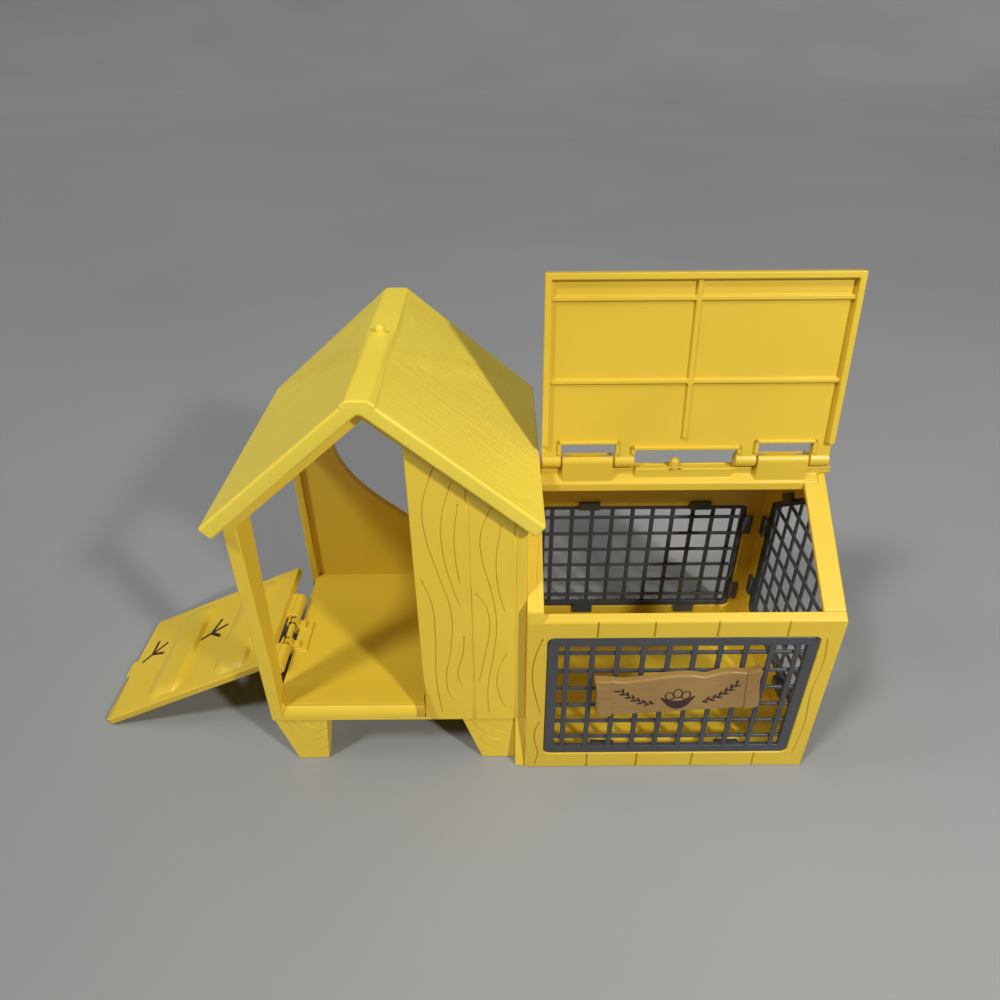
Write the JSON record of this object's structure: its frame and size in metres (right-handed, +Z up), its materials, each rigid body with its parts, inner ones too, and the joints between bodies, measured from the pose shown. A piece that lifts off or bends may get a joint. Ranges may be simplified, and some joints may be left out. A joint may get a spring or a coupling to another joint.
{
  "type": "toy chicken coop",
  "caption": "Toy hen house on legs with a gabled roof, a heart window and a fold-up ramp, joined to a meshed run with a hinged lid and a blank ornamental sign.",
  "frame": {"origin": "middle of the run's underside, on the surface the coop stands on", "axes": "+X to the right along the front, from the house towards the run; +Y to the back; +Z up"},
  "size_m": [0.2642, 0.0942, 0.1656],
  "materials": {
    "yellow_plastic": "satin yellow plastic moulded with wood grain",
    "grille_plastic": "satin blue-grey plastic",
    "sign_plastic": "satin tan plastic"
  },
  "bodies": {
    "coop": {"run_floor": "yellow_plastic", "run_front_wall": "yellow_plastic", "run_back_wall": "yellow_plastic", "run_left_wall": "yellow_plastic", "run_right_wall": "yellow_plastic", "run_rear_roof": "yellow_plastic", "house_floor": "yellow_plastic", "house_front_wall": "yellow_plastic", "house_back_wall": "yellow_plastic", "house_left_wall": "yellow_plastic", "house_right_wall": "yellow_plastic", "house_roof": "yellow_plastic", "leg_front_left": "yellow_plastic", "leg_front_right": "yellow_plastic", "leg_rear_left": "yellow_plastic", "leg_rear_right": "yellow_plastic", "front_grille": "grille_plastic", "rear_grille": "grille_plastic", "side_grille": "grille_plastic", "sign_board": "sign_plastic"},
    "lid": {"run_lid": "yellow_plastic"},
    "ramp": {"ramp": "yellow_plastic"}
  },
  "joints": [
    {"name": "lid_hinge", "type": "hinge", "parent": "coop", "child": "lid", "pos_m": [0, 0.0005, 0.10557], "axis": [1, 0, 0], "range_deg": [0, 135.5]},
    {"name": "ramp_hinge", "type": "hinge", "parent": "coop", "child": "ramp", "pos_m": [-0.1393, 0, 0.03], "axis": [0, 1, 0], "range_deg": [0, 106]}
  ]
}
